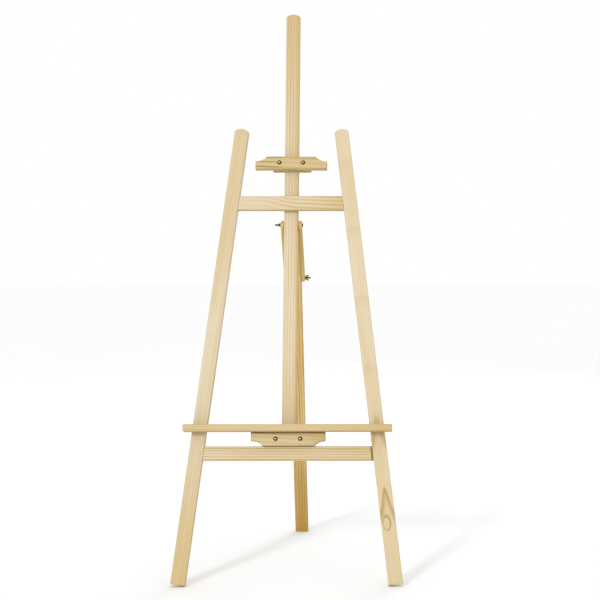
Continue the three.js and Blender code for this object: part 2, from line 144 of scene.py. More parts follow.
class Graph:
    """A material under construction. Each method adds one node and returns its output."""

    def __init__(self, name, seed=0.0):
        self.material = bpy.data.materials.new(name)
        self.material.use_nodes = True
        self.tree = self.material.node_tree
        self.shader = self.tree.nodes["Principled BSDF"]
        self.seed = seed

    def feed(self, socket, value):
        if isinstance(value, bpy.types.NodeSocket):
            self.tree.links.new(value, socket)
        else:
            socket.default_value = value

    def node(self, kind, settings=None, **inputs):
        made = self.tree.nodes.new(kind)
        for key, value in (settings or {}).items():
            setattr(made, key, value)
        for key, value in inputs.items():
            self.feed(made.inputs[key], value)
        return made

    def math(self, operation, *values):
        made = self.node("ShaderNodeMath", {"operation": operation})
        for socket, value in zip(made.inputs, values):
            self.feed(socket, value)
        return made.outputs[0]

    def scaled(self, vector, factors):
        made = self.node("ShaderNodeVectorMath", {"operation": "MULTIPLY"})
        self.feed(made.inputs[0], vector)
        self.feed(made.inputs[1], factors)
        return made.outputs[0]

    def split(self, vector):
        return self.node("ShaderNodeSeparateXYZ", Vector=vector).outputs

    def join(self, x, y, z):
        return self.node("ShaderNodeCombineXYZ", X=x, Y=y, Z=z).outputs[0]

    def noise(self, vector, stretch, seed=0.0, detail=2.0, roughness=0.5):
        """Smooth noise from 0 to 1 whose features are about stretch long in each direction."""
        made = self.node(
            "ShaderNodeTexNoise",
            {"noise_dimensions": "4D"},
            Vector=self.scaled(vector, tuple(1 / s for s in stretch)),
            W=self.seed + seed,
            Scale=1.0,
            Detail=detail,
            Roughness=roughness,
        )
        return made.outputs

    def ramp(self, value, low, high, start=0.0, end=1.0):
        """Rises smoothly from start to end as value goes from low to high."""
        made = self.node("ShaderNodeMapRange", {"interpolation_type": "SMOOTHSTEP"}, Value=value)
        self.feed(made.inputs["From Min"], low)
        self.feed(made.inputs["From Max"], high)
        self.feed(made.inputs["To Min"], start)
        self.feed(made.inputs["To Max"], end)
        return made.outputs[0]

    def blend(self, factor, first, second):
        made = self.node("ShaderNodeMix", {"data_type": "RGBA"})
        self.feed(made.inputs["Factor"], factor)
        self.feed(made.inputs[6], first)
        self.feed(made.inputs[7], second)
        return made.outputs[2]

    def bump(self, height, distance):
        made = self.node("ShaderNodeBump", Height=height, Distance=distance)
        self.feed(self.shader.inputs["Normal"], made.outputs[0])


# Timber --------------------------------------------------------------------------------------------------


class Bar:
    """A CAD piece of timber with its own axes: x across the grain, y through its thickness and z along the
    grain."""

    def __init__(self, name, depth, along):
        self.name = name
        self.node = nodes[name]
        points = sorted({tuple(round(c, 6) for c in v.co) for v in self.node.data.vertices})
        points = [Vector(p) for p in points]
        z = self.end_to_end(points, along)
        y = (depth - z * depth.dot(z)).normalized()
        x = y.cross(z)
        turn = Matrix((x, y, z))
        local = [turn @ p for p in points]
        low = Vector([min(p[i] for p in local) for i in range(3)])
        high = Vector([max(p[i] for p in local) for i in range(3)])
        self.half = (high - low) / 2 / MM
        self.into = Matrix.Translation(-(low + high) / 2) @ turn.to_4x4()
        self.along = z
        self.across = x

    def end_to_end(self, points, along):
        """The direction from the middle of one end to the middle of the other."""
        heights = [p.dot(along) for p in points]
        low, high = min(heights), max(heights)
        near = 0.02 * (high - low)
        ends = []
        for level in (low, high):
            found = [p for p, height in zip(points, heights) if abs(height - level) < near]
            corners = [[f(p[i] for p in found) for i in range(3)] for f in (min, max)]
            ends.append((Vector(corners[0]) + Vector(corners[1])) / 2)
        return (ends[1] - ends[0]).normalized()


# Pine colours: early wood, late wood, and the resinous tone that drifts through both
PALE = (srgb(212, 199, 172), srgb(169, 139, 80), srgb(195, 172, 123))
WARM = (srgb(202, 185, 143), srgb(155, 125, 64), srgb(186, 159, 101))
AMBER = (srgb(218, 195, 138), srgb(146, 111, 41), srgb(187, 150, 78))
LINK_TONES = (srgb(208, 186, 126), srgb(162, 128, 60), srgb(192, 160, 90))  # the fork links

# Painted shade on single bars: the tray rail's shadow on the bracket top, the shadow in the gap of a joint, and
# the shade of a side face along an edge
RAIL_SHADOW = srgb(122, 84, 14)
JOINT_GAP_SHADOW = srgb(98, 82, 26)
MAST_EDGE_SHADE = srgb(186, 154, 92)
RESIN_DUCT = srgb(140, 100, 52)

# Surface of the timber, in millimetres: relief of late wood, pitch of the planer's ripples, and how far in
# from a long edge the band of wear and painted shade starts and is full
WOOD_RELIEF = 0.08
PLANER_PITCH = 1.9
WORN_SHADED_EDGE_START = 2.4
WORN_SHADED_EDGE_FULL = 0.3

# How a bar is cut from its tree, in millimetres along the bar's own axes:
#   spacing   between the rings
#   lean      the pith's sideways move per length
#   bend      a step across the grain, and the two places along it between which it happens
#   phase     the share of a ring counted at the pith
#   sway      slow wandering of the rings; ripple, quick wandering
#   uneven    how ring widths vary
#   late      where in a ring late wood starts
#   faint     the palest ring's share of the strongest
#   contrast  at the low and the high end of the stretch given as change
#   amber     the share of resin at the low end, middle and high end
#   sides     how strongly painted shade tints the side faces towards resin
#   knots     each (x, z, half width, half length)
#   swirls    that push the rings aside, each (x, z, width, length, rings)
#   stains  bands of painted shade, each (axis, from, to, strength, colour)
#   slant     how far the bands of painted shade along the bar shift per length across it
#   tones     the three pine colours
PLAIN_CUT = {
    "lean": (0, 0),
    "bend": (0, 0, 1),
    "phase": 0,
    "sway": 3.0,
    "ripple": 0.45,
    "uneven": 0.9,
    "late": 0.4,
    "faint": 0.5,
    "contrast": (0.7, 0.7),
    "change": None,
    "amber": (0, 0, 0),
    "sides": 0.5,
    "knots": (),
    "swirls": (),
    "stains": (),
    "slant": 0.0,
    "tones": PALE,
}


def ring_count(g, cut, point):
    """The number of rings from the pith to a point."""
    x, y, z = g.split(point)
    slow = g.split(g.noise(point, (60, 60, 420), 1.3, detail=1.0)["Color"])
    quick = g.split(g.noise(point, (9, 9, 80), 4.1, detail=1.0)["Color"])
    offsets = []
    for axis, value in enumerate((x, y)):
        moved = g.math("SUBTRACT", value, cut.pith[axis])
        moved = g.math("SUBTRACT", moved, g.math("MULTIPLY", z, cut.lean[axis]))
        moved = g.math("ADD", moved, g.math("MULTIPLY", g.math("SUBTRACT", slow[axis], 0.5), 3 * cut.sway))
        moved = g.math("ADD", moved, g.math("MULTIPLY", g.math("SUBTRACT", quick[axis], 0.5), 3 * cut.ripple))
        offsets.append(moved)
    step, bend_start, bend_end = cut.bend
    offsets[0] = g.math("SUBTRACT", offsets[0], g.ramp(z, bend_start, bend_end, 0.0, step))
    radius = g.node("ShaderNodeVectorMath", {"operation": "LENGTH"})
    g.feed(radius.inputs[0], g.join(offsets[0], offsets[1], 0.0))
    rings = g.math("ADD", g.math("DIVIDE", radius.outputs["Value"], cut.spacing), cut.phase)
    growth = g.noise(g.join(rings, 0.0, 0.0), (3.0, 1.0, 1.0), 7.7, detail=1.0)["Fac"]
    rings = g.math("ADD", rings, g.math("MULTIPLY", growth, cut.uneven))
    for middle_x, middle_z, width, length, swell in cut.swirls:
        away = oval(g, x, z, middle_x, middle_z, width, length)
        core = g.math("EXPONENT", g.math("MULTIPLY", g.math("MULTIPLY", away, away), -1.0))
        rings = g.math("ADD", rings, g.math("MULTIPLY", core, swell))
    return rings


def oval(g, x, z, middle_x, middle_z, width, length):
    """How far out a point lies from the middle of an oval, as a share of its half width and half length."""
    across = g.math("DIVIDE", g.math("SUBTRACT", x, middle_x), width)
    upwards = g.math("DIVIDE", g.math("SUBTRACT", z, middle_z), length)
    squared = g.math("ADD", g.math("MULTIPLY", across, across), g.math("MULTIPLY", upwards, upwards))
    return g.math("SQRT", squared)


def knot_bark(g, cut, point):
    """The dark line around each knot, thickest on the upper right."""
    x, _, z = g.split(point)
    wander = g.noise(point, (7, 7, 12), 5.1, detail=1.0)["Fac"]
    wobble = g.math("MULTIPLY", g.math("SUBTRACT", wander, 0.5), 0.22)
    bark = 0.0
    for middle_x, middle_z, width, length in cut.knots:
        inner = g.math("ADD", oval(g, x, z, middle_x, middle_z, width, length), wobble)
        shifted = (middle_x + 0.1 * width, middle_z + 0.1 * length, 1.1 * width, 1.1 * length)
        outer = g.math("ADD", oval(g, x, z, *shifted), wobble)
        line = g.math("MULTIPLY", g.ramp(inner, 0.84, 0.98), g.ramp(outer, 0.9, 1.3, 1.0, 0.0))
        bark = g.math("MAXIMUM", bark, line)
    return bark


def late_wood(g, cut, point, share, count):
    """How dark the ring is: it darkens towards its outer edge and stops sharply there."""
    sharp = 0.94
    late = g.math("MULTIPLY", g.ramp(share, cut.late, sharp), g.ramp(share, sharp, 1.0, 1.0, 0.0))
    each = g.node("ShaderNodeTexWhiteNoise", {"noise_dimensions": "1D"}, W=g.math("ADD", count, cut.seed))
    late = g.math("MULTIPLY", late, g.ramp(each.outputs["Value"], 0.0, 1.0, cut.faint, 1.0))
    patches = g.noise(point, (26, 26, 160), 2.9)["Fac"]
    return g.math("MULTIPLY", late, g.ramp(patches, 0.3, 0.7, 0.7, 1.0))


def facing(g, normal, direction):
    """How squarely the surface faces along a direction or against it."""
    made = g.node("ShaderNodeVectorMath", {"operation": "DOT_PRODUCT"})
    g.feed(made.inputs[0], normal)
    g.feed(made.inputs[1], direction)
    return g.math("ABSOLUTE", made.outputs["Value"])


def pine(bar, pith, spacing, seed, **own):
    """Solid pine for one bar, cut from its tree as PLAIN_CUT says except where own says otherwise."""
    cut = SimpleNamespace(**{**PLAIN_CUT, **own, "pith": pith, "spacing": spacing, "seed": seed})
    early, dark, resin = cut.tones
    g = Graph("pine_" + bar.name, seed)
    place = g.node("ShaderNodeTexCoord").outputs
    mapping = g.node("ShaderNodeMapping", Vector=place["Object"])
    mapping.inputs["Location"].default_value = bar.into.to_translation() / MM
    mapping.inputs["Rotation"].default_value = bar.into.to_euler()
    mapping.inputs["Scale"].default_value = (1 / MM, 1 / MM, 1 / MM)
    point = mapping.outputs[0]
    x, y, z = g.split(point)
    rings = ring_count(g, cut, point)
    share = g.math("FRACT", rings)
    late = late_wood(g, cut, point, share, g.math("FLOOR", rings))
    if cut.knots:
        late = g.math("MAXIMUM", late, g.math("MULTIPLY", knot_bark(g, cut, point), 0.8))

    # Fine fibres, and the short dark lines of resin ducts
    fibre = g.noise(point, (0.45, 0.45, 26), 5.5, detail=3.0, roughness=0.65)["Fac"]
    strand = g.noise(point, (2.6, 2.6, 120), 6.6, detail=2.0)["Fac"]
    duct = g.ramp(g.noise(point, (0.55, 0.55, 8.5), 8.8, detail=0.0)["Fac"], 0.76, 0.82)
    duct = g.math("MULTIPLY", duct, g.ramp(share, 0.3, 0.6))

    # Colour
    low, high = cut.change or (-bar.half.z, bar.half.z)
    drift = g.noise(point, (34, 34, 300), 3.3, detail=2.0)["Fac"]
    colour = g.blend(g.ramp(drift, 0.35, 0.75, 0.0, 0.5), early, resin)
    first, middle, last = cut.amber
    inner = 0.15 * bar.half.z
    amber_low = g.ramp(z, -bar.half.z, -inner, first - middle, 0.0)
    amber = g.math("ADD", amber_low, g.ramp(z, inner, bar.half.z, middle, last))
    colour = g.blend(amber, colour, resin)
    colour = g.blend(g.math("MULTIPLY", late, g.ramp(z, low, high, *cut.contrast)), colour, dark)
    colour = g.blend(g.ramp(strand, 0.35, 0.7, 0.0, 0.18), colour, resin)
    colour = g.blend(g.ramp(fibre, 0.3, 0.75, 0.0, 0.16), colour, dark)
    colour = g.blend(g.math("MULTIPLY", duct, 0.3), colour, RESIN_DUCT)

    slanted = g.math("SUBTRACT", z, g.math("MULTIPLY", x, cut.slant))
    # Bands of painted shade along or across the bar
    for axis, start, end, strength, shade_tone in cut.stains:
        colour = g.blend(g.ramp((x, y, slanted)[axis], start, end, 0.0, strength), colour, shade_tone)

    # Side faces are tinted towards resin as painted shade, and end grain drinks in light
    side_shade = g.ramp(facing(g, place["Normal"], bar.across), 0.5, 0.95)
    end_grain = g.ramp(facing(g, place["Normal"], bar.along), 0.55, 0.95)
    colour = g.blend(g.math("MULTIPLY", side_shade, cut.sides), colour, g.blend(0.45, resin, dark))
    colour = g.blend(g.math("MULTIPLY", end_grain, 0.35), colour, dark)

    # The long edges are worn a little smoother, and painted a little warmer and darker as shade along the arrises
    edge_x = g.ramp(g.math("ABSOLUTE", x), bar.half.x - WORN_SHADED_EDGE_START, bar.half.x - WORN_SHADED_EDGE_FULL)
    edge_y = g.ramp(g.math("ABSOLUTE", y), bar.half.y - WORN_SHADED_EDGE_START, bar.half.y - WORN_SHADED_EDGE_FULL)
    edge_wear_and_shade = g.math("MULTIPLY", edge_x, edge_y)
    edge_wear_and_shade = g.math("MULTIPLY", edge_wear_and_shade, g.ramp(g.noise(point, (3, 3, 22), 9.1)["Fac"], 0.35, 0.65, 0.35, 1.0))
    colour = g.blend(g.math("MULTIPLY", edge_wear_and_shade, 0.3), colour, resin)
    g.feed(g.shader.inputs["Base Color"], colour)

    # Surface: late wood stands up slightly and is smoother, with faint planer ripples across the grain
    rough = g.math("ADD", 0.56, g.math("MULTIPLY", fibre, 0.14))
    rough = g.math("SUBTRACT", rough, g.math("MULTIPLY", late, 0.09))
    rough = g.math("ADD", rough, g.math("MULTIPLY", end_grain, 0.15))
    rough = g.math("SUBTRACT", rough, g.math("MULTIPLY", edge_wear_and_shade, 0.08))
    g.feed(g.shader.inputs["Roughness"], rough)
    planed = g.math("SINE", g.math("MULTIPLY", z, 2 * math.pi / PLANER_PITCH))
    height = g.math("MULTIPLY", late, 0.45)
    height = g.math("ADD", height, g.math("MULTIPLY", fibre, 0.5))
    height = g.math("SUBTRACT", height, g.math("MULTIPLY", duct, 0.6))
    height = g.math("ADD", height, g.math("MULTIPLY", planed, 0.03))
    dents = g.ramp(g.noise(point, (7, 7, 9), 9.9, detail=0.0)["Fac"], 0.74, 0.84)
    height = g.math("SUBTRACT", height, g.math("MULTIPLY", dents, 0.8))
    g.bump(height, WOOD_RELIEF * MM)
    g.shader.inputs["Specular IOR Level"].default_value = 0.32
    return g.material


MERGE_DISTANCE = 0.005  # millimetres
SHARP_EDGE = math.radians(50)


def smooth_group():
    """Geometry nodes that shade a mesh smooth except across edges sharper than an angle."""
    tree = bpy.data.node_groups.new("shade_by_angle", "GeometryNodeTree")
    tree.interface.new_socket("Geometry", in_out="INPUT", socket_type="NodeSocketGeometry")
    tree.interface.new_socket("Geometry", in_out="OUTPUT", socket_type="NodeSocketGeometry")
    start = tree.nodes.new("NodeGroupInput")
    end = tree.nodes.new("NodeGroupOutput")
    merge = tree.nodes.new("GeometryNodeMergeByDistance")
    merge.inputs["Distance"].default_value = MERGE_DISTANCE * MM
    faces = tree.nodes.new("GeometryNodeSetShadeSmooth")
    faces.domain = "FACE"
    edges = tree.nodes.new("GeometryNodeSetShadeSmooth")
    edges.domain = "EDGE"
    edges.inputs["Shade Smooth"].default_value = False
    angle = tree.nodes.new("GeometryNodeInputMeshEdgeAngle")
    compare = tree.nodes.new("FunctionNodeCompare")
    compare.data_type = "FLOAT"
    compare.operation = "GREATER_THAN"
    compare.inputs["B"].default_value = SHARP_EDGE
    link = tree.links.new
    link(start.outputs[0], merge.inputs["Geometry"])
    link(merge.outputs["Geometry"], faces.inputs["Geometry"])
    link(faces.outputs["Geometry"], edges.inputs["Geometry"])
    link(angle.outputs["Unsigned Angle"], compare.inputs["A"])
    link(compare.outputs["Result"], edges.inputs["Selection"])
    link(edges.outputs["Geometry"], end.inputs[0])
    return tree


shade_by_angle = smooth_group()


def finish_timber(bar, material):
    bar.node.data.materials.clear()
    bar.node.data.materials.append(material)
    shade = bar.node.modifiers.new("shade", "NODES")
    shade.node_group = shade_by_angle
    normals = bar.node.modifiers.new("normals", "WEIGHTED_NORMAL")
    normals.keep_sharp = True


def flame_cut():
    """The right leg's cut. Its front crosses the rings at a low angle, so they show as tall flames, one above
    the other. A swirl draws each tip out to a point."""
    tips = (-354, -168)
    cusp = 46
    lean = 0.1
    pith_depth = 122
    front = pith_depth + 10
    spacing = (tips[1] - tips[0]) * lean
    flames = [(0, tip - 14, 10.5, 70, -0.265) for tip in tips]
    foot = (0, -612, 100, 50, 0.3)
    own = {
        "lean": (0, lean),
        "phase": -((front + lean * (tips[0] - cusp)) / spacing) % 1,
        "sway": 0.5,
        "ripple": 0.3,
        "uneven": 0,
        "late": 0.72,
        "faint": 0.9,
        "contrast": (1.35, 0.2),
        "change": (-300, -110),
        "amber": (0.6, 0.15, 0.3),
        "knots": ((-5, -452, 9.2, 17),),
        "swirls": (*flames, foot),
    }
    return (0, pith_depth), spacing, own


def make_timber():
    """Every wooden piece, with the cut of pine that it is made from."""
    upright = {"depth": BACK, "along": UP}
    level = {"depth": BACK, "along": X}
    fork_line = Vector(joints["rear_leg_swing"]["pos_m"]) - Vector(joints["fork_swing"]["pos_m"])

    def timber(name, axes, pith, spacing, seed, **own):
        bar = Bar(name, **axes)
        finish_timber(bar, pine(bar, pith, spacing, seed, **own))

    timber(
        "left_leg",
        upright,
        (-190, 70),
        4.6,
        11,
        lean=(0.006, 0),
        contrast=(0.85, 0.6),
        amber=(0.9, 0, 0.5),
    )
    pith, spacing, own = flame_cut()
    timber("right_leg", upright, pith, spacing, 23, **own)
    timber(
        "upper_crossbar",
        level,
        (60, 55),
        8.5,
        37,
        lean=(0.02, 0.02),
        bend=(13, -75, 15),
        contrast=(0.45, 1.4),
        change=(-90, 20),
        amber=(0, 0.25, 0.9),
        sway=2.0,
        faint=0.35,
    )
    timber(
        "lower_crossbar",
        level,
        (130, 30),
        6.8,
        41,
        lean=(0.004, 0),
        contrast=(1.3, 1.5),
        amber=(0.2, 0.4, 0.7),
        sway=1.5,
        ripple=0.8,
        uneven=0.2,
        slant=0.108,
        # painted shadow in the gap where the crossbar's right end meets the right leg
        stains=((2, 214, 216.5, 0.8, JOINT_GAP_SHADOW),),
    )
    timber(
        "mast",
        upright,
        (-160, -60),
        7.6,
        53,
        lean=(0.002, 0.001),
        contrast=(0.45, 0.8),
        amber=(0.6, 0, 1.0),
        uneven=1.0,
        ripple=0.9,
        faint=0.3,
        # painted shade of the mast's right side face, along its right edge
        stains=((0, 11, 15, 0.65, MAST_EDGE_SHADE),),
    )
    timber(
        "canvas_holder_block",
        level,
        (75, 40),
        10.5,
        61,
        lean=(0.03, 0),
        contrast=(2.2, 0.7),
        change=(-60, -10),
        amber=(0.2, 0.3, 0.4),
        uneven=0.3,
        sides=0.1,
        tones=WARM,
    )
    timber("canvas_holder_clamp_plate", level, (70, -50), 5.0, 67, lean=(0.02, 0), tones=AMBER, sides=0)
    timber(
        "tray_rail",
        level,
        (90, 110),
        3.6,
        71,
        lean=(0.002, 0.004),
        contrast=(0.6, 0.6),
        amber=(0.1, 0.2, 0.3),
        tones=WARM,
        knots=((2, 90, 2.6, 4.2),),
    )
    timber(
        "tray_bracket",
        level,
        (60, 90),
        5.4,
        79,
        lean=(0.01, 0.03),
        tones=WARM,
        amber=(0, 0.1, 0.6),
        # painted shadow of the tray rail on the bracket's top
        stains=((0, -10, -18, 0.7, RAIL_SHADOW),),
    )
    timber("tray_clamp_plate", level, (90, 40), 4.2, 83, lean=(0.01, 0), tones=AMBER, sides=0)
    link = {"depth": X, "along": -fork_line}
    timber("fork_left_link", link, (70, 20), 4.2, 89, lean=(0.01, 0), tones=LINK_TONES, sides=0.1)
    timber("fork_right_link", link, (66, 24), 4.4, 97, lean=(0.01, 0), tones=LINK_TONES, sides=0.1)
    standing = {"depth": BACK, "along": Vector((0, 0, 1))}
    timber(
        "rear_leg",
        standing,
        (-70, 60),
        6.6,
        101,
        lean=(0.004, 0.004),
        contrast=(1.2, 1.0),
        tones=AMBER,
        sway=5.0,
        ripple=1.2,
        faint=0.3,
        amber=(1.0, 0.25, 0),
    )


# Hardware ------------------------------------------------------------------------------------------------


def loft(sections, sides):
    """A closed mesh through rings of points about Z; each section is (height, radius at an angle)."""
    bm = bmesh.new()
    rings = []
    for height, radius in sections:
        ring = []
        for side in range(sides):
            angle = 2 * math.pi * side / sides
            r = radius(angle) if callable(radius) else radius
            ring.append(bm.verts.new((r * math.cos(angle), r * math.sin(angle), height)))
        rings.append(ring)
    for low, high in zip(rings, rings[1:]):
        for i in range(sides):
            j = (i + 1) % sides
            bm.faces.new((low[i], low[j], high[j], high[i]))
    bm.faces.new(list(reversed(rings[0])))
    bm.faces.new(rings[-1])
    return bm


def threaded(sections, low, high, major, minor, pitch):
    """Adds the rings of a screw thread from low to high, running out smoothly at both ends."""
    steps = round((high - low) / pitch * 6)
    for i in range(steps + 1):
        height = low + (high - low) * i / steps
        fade = min(1.0, (height - low) / pitch, (high - height) / pitch)

        def radius(angle, height=height, fade=fade):
            phase = (height / pitch - angle / (2 * math.pi)) % 1
            crest = min(1.0, max(0.0, 1.6 - abs(phase - 0.5) * 4.4))
            return minor + (major - minor) * (1 - fade + fade * crest)

        sections.append((height, radius))


def square(half, corner):
    """The radius of a rounded square at an angle."""

    def radius(angle):
        across = max(abs(math.cos(angle)), abs(math.sin(angle)))
        return min(half / across, half * math.sqrt(2) - corner)

    return radius


def as_mesh(bm, name, sharp=35):
    bmesh.ops.scale(bm, vec=(MM, MM, MM), verts=bm.verts)
    bmesh.ops.recalc_face_normals(bm, faces=bm.faces)
    mesh = bpy.data.meshes.new(name)
    bm.to_mesh(mesh)
    bm.free()
    mesh.shade_smooth()
    mesh.set_sharp_from_angle(angle=math.radians(sharp))
    return mesh


def show(name, mesh, matrix):
    piece = bpy.data.objects.new(name, mesh)
    bpy.context.scene.collection.objects.link(piece)
    piece.matrix_world = matrix
    return piece


def stand_for(node_name, mesh, matrix):
    """Puts a fine piece in place of a CAD node, on that node's body."""
    piece = show(node_name + "_detail", mesh, matrix)
    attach(piece, body_of_node[node_name])
    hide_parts(node_name)


def axes(z, x):
    """A rotation whose Z is z and whose X is as near x as it can be."""
    z = z.normalized()
    x = (x - z * x.dot(z)).normalized()
    return Matrix((x, z.cross(x), z)).transposed()


def spread(node_name, turn):
    """Lowest and highest corner of a CAD node along the axes of a rotation."""
    local = [turn.transposed() @ v.co for v in nodes[node_name].data.vertices]
    low = Vector([min(p[i] for p in local) for i in range(3)])
    high = Vector([max(p[i] for p in local) for i in range(3)])
    return low, high


def seated(node_name, turn, height):
    """The matrix that stands a piece on the CAD node's axis, with its z = 0 at that height along it."""
    low, high = spread(node_name, turn)
    middle = (low + high) / 2
    place = turn @ Vector((middle.x, middle.y, height))
    return Matrix.Translation(place) @ turn.to_4x4()


TURNING_PITCH = 0.35  # millimetres between the turning marks
METAL_RELIEF = 0.03  # millimetres


def metal(name, base, wear_and_highlight, tarnish_and_dark_reflection, roughness, painted_highlight_radius=None):
    """Plated metal: cloudy tarnish, brighter rubbed spots and fine turning marks. Within a given radius it
    carries a painted highlight, and outside it a painted dark reflection."""
    g = Graph(name)
    point = g.scaled(g.node("ShaderNodeTexCoord").outputs["Object"], (1 / MM, 1 / MM, 1 / MM))
    x, y, z = g.split(point)
    cloud = g.noise(point, (3.2, 3.2, 3.2), 1.1, detail=4.0)["Fac"]
    spots = g.noise(point, (0.6, 0.6, 0.6), 2.2, detail=3.0)["Fac"]
    colour = g.blend(g.ramp(cloud, 0.35, 0.68), base, tarnish_and_dark_reflection)
    colour = g.blend(g.ramp(spots, 0.6, 0.75, 0.0, 0.6), colour, wear_and_highlight)
    circle = g.math("SQRT", g.math("ADD", g.math("MULTIPLY", x, x), g.math("MULTIPLY", y, y)))
    # Painted highlight on the dome's crown, and a painted dark reflection around it
    if painted_highlight_radius:
        colour = g.blend(g.ramp(circle, 0.7 * painted_highlight_radius, 1.25 * painted_highlight_radius), wear_and_highlight, colour)
        colour = g.blend(g.ramp(circle, 1.25 * painted_highlight_radius, 2.0 * painted_highlight_radius, 0.0, 0.6), colour, tarnish_and_dark_reflection)
    g.feed(g.shader.inputs["Base Color"], colour)
    g.shader.inputs["Metallic"].default_value = 1.0
    shine = g.math("ADD", roughness, g.math("MULTIPLY", g.ramp(cloud, 0.3, 0.7), 0.16))
    g.feed(g.shader.inputs["Roughness"], g.math("SUBTRACT", shine, g.math("MULTIPLY", spots, 0.08)))
    turned = g.math("SINE", g.math("MULTIPLY", circle, 2 * math.pi / TURNING_PITCH))
    height = g.math("ADD", g.math("MULTIPLY", turned, 0.12), g.math("MULTIPLY", spots, 0.6))
    g.bump(g.math("ADD", height, g.math("MULTIPLY", cloud, 0.8)), METAL_RELIEF * MM)
    return g.material


BRONZE = metal("bronzed_brass", srgb(150, 124, 70), srgb(214, 192, 136), srgb(92, 70, 34), 0.28)
# Carriage bolt domes, with a painted highlight on the crown and a painted dark reflection towards the rim
DOMED = metal(
    "bronzed_brass_domes", srgb(134, 106, 56), srgb(232, 212, 156), srgb(66, 48, 20), 0.24, painted_highlight_radius=1.5
)
ZINC = metal("zinc_steel", srgb(176, 170, 156), srgb(214, 210, 200), srgb(128, 122, 108), 0.3)

# Sizes of the hardware in millimetres, as in the CAD
SEAT_GAP = 0.3
BOLT_RADIUS = 2.5
HEAD_RADIUS = 5.6
HEAD_HEIGHT = 2.9
NECK_HALF = 2.5
NECK_DEPTH = 2.15
THREAD_PITCH = 0.8
THREAD_DEPTH = 0.42
THREAD_LENGTH = 24
WASHER_INNER = 2.8
WASHER_RADIUS = 6.0
WASHER_THICKNESS = 1.0
SCREW_RADIUS = 1.85
SCREW_CORE = 1.25
SCREW_HEAD = 4.0
SCREW_HEAD_DEPTH = 2.8
SCREW_PITCH = 1.7
WING_SPAN = 20.5
WING_RISE = 9.5
WING_THICKNESS = 1.8
WING_ROOT = 3.4
NUT_HEIGHT = 5.2
NUT_BASE = 4.7
NUT_TOP = 3.8


def bolt_mesh(name, length):
    """A carriage bolt along +Z: domed head below z = 0, rounded square neck, shank and threaded end."""
    sections = [(-SEAT_GAP - HEAD_HEIGHT, 0.05)]
    dome_steps = 12
    rim = 0.5
    for i in range(1, dome_steps + 1):
        turn = math.pi / 2 * i / dome_steps
        height = -SEAT_GAP - rim - (HEAD_HEIGHT - rim) * math.cos(turn)
        sections.append((height, HEAD_RADIUS * math.sin(turn)))
    for i in range(1, 4):
        turn = math.pi / 2 * i / 3
        sections.append((-SEAT_GAP - rim + rim * math.sin(turn), HEAD_RADIUS - 0.35 * (1 - math.cos(turn))))
    neck = square(NECK_HALF, 0.35)
    sections.append((-SEAT_GAP, neck))
    sections.append((NECK_DEPTH - 0.3, neck))
    sections.append((NECK_DEPTH, BOLT_RADIUS))
    thread_start = length - THREAD_LENGTH
    chamfer = 0.9
    threaded(sections, thread_start, length - chamfer, BOLT_RADIUS, BOLT_RADIUS - THREAD_DEPTH, THREAD_PITCH)
    sections.append((length - 0.1, BOLT_RADIUS - 0.75))
    sections.append((length, BOLT_RADIUS - chamfer))
    mesh = as_mesh(loft(sections, 32), name, 40)
    mesh.materials.append(DOMED)
    return mesh


def washer_mesh():
    """A flat ring with softened rims."""
    sides, soft = 48, 0.22
    outline = []
    for cx, cz, start in (
        (WASHER_RADIUS - soft, WASHER_THICKNESS - soft, 0),
        (WASHER_INNER + soft, WASHER_THICKNESS - soft, 90),
        (WASHER_INNER + soft, soft, 180),
        (WASHER_RADIUS - soft, soft, 270),
    ):
        for step in range(4):
            turn = math.radians(start + 30 * step)
            outline.append((cx + soft * math.cos(turn), cz + soft * math.sin(turn)))
    bm = bmesh.new()
    rings = []
    for side in range(sides):
        angle = 2 * math.pi * side / sides
        rings.append([bm.verts.new((r * math.cos(angle), r * math.sin(angle), z)) for r, z in outline])
    for a, b in zip(rings, rings[1:] + rings[:1]):
        for i in range(len(outline)):
            j = (i + 1) % len(outline)
            bm.faces.new((a[i], a[j], b[j], b[i]))
    mesh = as_mesh(bm, "washer", 50)
    mesh.materials.append(ZINC)
    return mesh


def bezier(points, steps):
    """Points along a Bezier curve of any order, without its first point."""
    found = []
    for i in range(1, steps + 1):
        level = [Vector(p) for p in points]
        while len(level) > 1:
            level = [a.lerp(b, i / steps) for a, b in zip(level, level[1:])]
        found.append(level[0])
    return found


def evaluated(bm, name, modifiers):
    """The mesh of bm after modifiers, each given as (type, settings)."""
    mesh = bpy.data.meshes.new(name)
    bmesh.ops.recalc_face_normals(bm, faces=bm.faces)
    bm.to_mesh(mesh)
    bm.free()
    obj = bpy.data.objects.new(name, mesh)
    bpy.context.scene.collection.objects.link(obj)
    for kind, settings in modifiers:
        modifier = obj.modifiers.new(kind, kind)
        for key, value in settings.items():
            setattr(modifier, key, value)
    graph = bpy.context.evaluated_depsgraph_get()
    made = bpy.data.meshes.new_from_object(obj.evaluated_get(graph))
    bpy.data.objects.remove(obj)
    result = bmesh.new()
    result.from_mesh(made)
    return result


